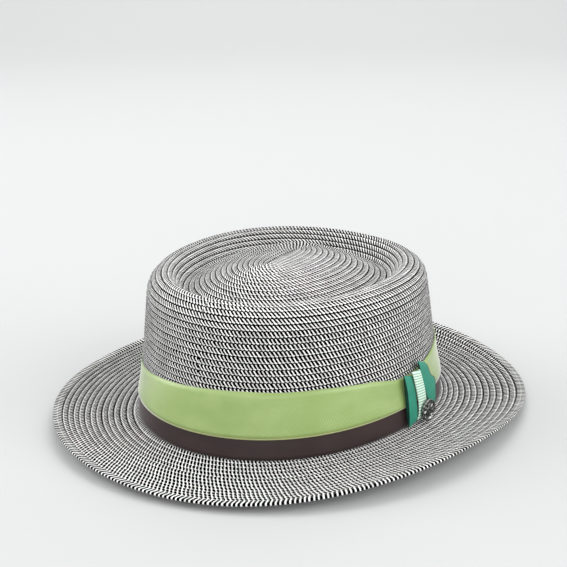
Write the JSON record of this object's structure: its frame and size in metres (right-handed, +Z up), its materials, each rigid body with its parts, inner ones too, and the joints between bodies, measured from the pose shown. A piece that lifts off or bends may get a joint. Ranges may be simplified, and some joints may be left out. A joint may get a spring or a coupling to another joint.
{
  "type": "porkpie hat",
  "caption": "Porkpie hat of sewn straw braid: flat-topped crown with a grooved tip, round the crown a brown and a green ribbon, a side bow and a small metal badge.",
  "frame": {"origin": "on the surface that the brim rests on, under the middle of the brim's outline", "axes": "+Z up, -Y the front of the hat, +X the side with the bow"},
  "size_m": [0.2778, 0.3088, 0.0946],
  "materials": {
    "straw_braid": "paper straw braid, off-white strands crossed by near-black ones, satin",
    "brown_ribbon": "ribbed ribbon, dark brown, satin",
    "lime_ribbon": "ribbed ribbon, light yellow green, satin",
    "emerald_ribbon": "satin ribbon, emerald green",
    "striped_ribbon": "satin ribbon, white with slanting emerald bars",
    "badge_metal": "dark pewter, worn bright on its rim"
  },
  "bodies": {
    "root": {"straw_shell": "straw_braid", "brown_band": "brown_ribbon", "lime_band": "lime_ribbon", "bow_loop_front": "emerald_ribbon", "bow_loop_back": "emerald_ribbon", "bow_knot": "striped_ribbon", "badge": "badge_metal"}
  },
  "joints": []
}
